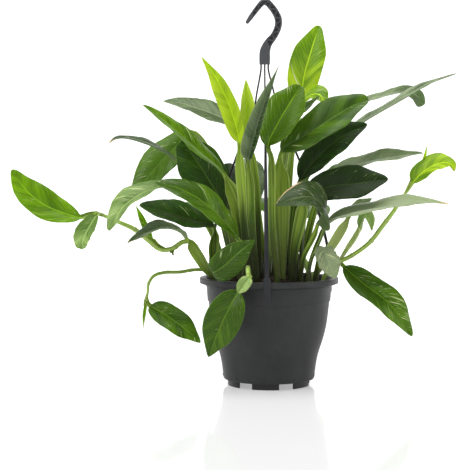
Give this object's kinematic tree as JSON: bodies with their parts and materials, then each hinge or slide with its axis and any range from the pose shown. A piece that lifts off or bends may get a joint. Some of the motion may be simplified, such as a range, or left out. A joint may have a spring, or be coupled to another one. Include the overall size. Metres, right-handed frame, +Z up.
{
  "type": "potted cobra philodendron",
  "caption": "Bushy aroid house plant with long pointed leaves on winged stalks and trailing stems, in a dark plastic hanging pot with a clip-on hook.",
  "frame": {"origin": "middle of the whole plant's footprint, on the surface that the pot stands on", "axes": "+Z up, -Y towards the front that the picture shows, +X to the right of it"},
  "size_m": [0.4714, 0.2574, 0.4147],
  "materials": {
    "pot_plastic": "satin moulded",
    "hanger_plastic": "satin moulded",
    "soil": "rough crumb",
    "leaf_mature": "waxy satin",
    "leaf_fresh": "waxy satin",
    "leaf_young": "soft satin",
    "leaf_streaked": "waxy satin with cream streaks",
    "leaf_pale": "waxy satin",
    "leaf_grey": "waxy satin",
    "stem_green": "soft satin"
  },
  "bodies": {
    "root": {"pot": "pot_plastic", "soil": "soil", "hanger_hook": "hanger_plastic", "hanger_arm_front": "hanger_plastic", "hanger_arm_right": "hanger_plastic", "hanger_arm_left": "hanger_plastic", "leaf_young_tall": "leaf_young", "leaf_spear_centre": "leaf_young", "leaf_folded_centre": "leaf_mature", "leaf_bright_centre": "leaf_fresh", "leaf_slender_centre": "leaf_mature", "leaf_curled_small": "leaf_young", "leaf_tall_bright": "leaf_young", "leaf_large_right": "leaf_mature", "leaf_dark_right": "leaf_mature", "leaf_long_edge_right": "leaf_grey", "leaf_drooping_right": "leaf_grey", "leaf_grey_right": "leaf_grey", "leaf_dark_low_right": "leaf_mature", "leaf_folded_front": "leaf_grey", "leaf_long_low_right": "leaf_grey", "leaf_small_pale_right": "leaf_grey", "leaf_wrinkled_right": "leaf_grey", "leaf_rim_left": "leaf_streaked", "leaf_big_left": "leaf_streaked", "leaf_pale_left": "leaf_pale", "leaf_dark_left": "leaf_mature", "leaf_broad_left": "leaf_mature", "leaf_long_upper_left": "leaf_fresh", "leaf_narrow_left": "leaf_grey", "leaf_rear_left": "leaf_mature", "leaf_grey_upper_left": "leaf_grey", "leaf_arching_left": "leaf_grey", "leaf_inner_dark": "leaf_mature", "leaf_inner_grey": "leaf_grey", "leaf_back_high_right": "leaf_fresh", "leaf_back_right": "leaf_mature", "leaf_back_left": "leaf_mature", "leaf_back_low_left": "leaf_streaked", "leaf_back_low_right": "leaf_streaked", "leaf_back_middle": "leaf_fresh", "leaf_back_hanging_left": "leaf_mature", "leaf_back_hanging_right": "leaf_fresh", "stem_trailing_left": "stem_green", "stem_hanging_left": "stem_green", "stem_hanging_front": "stem_green", "stem_trailing_right": "stem_green"}
  },
  "joints": []
}
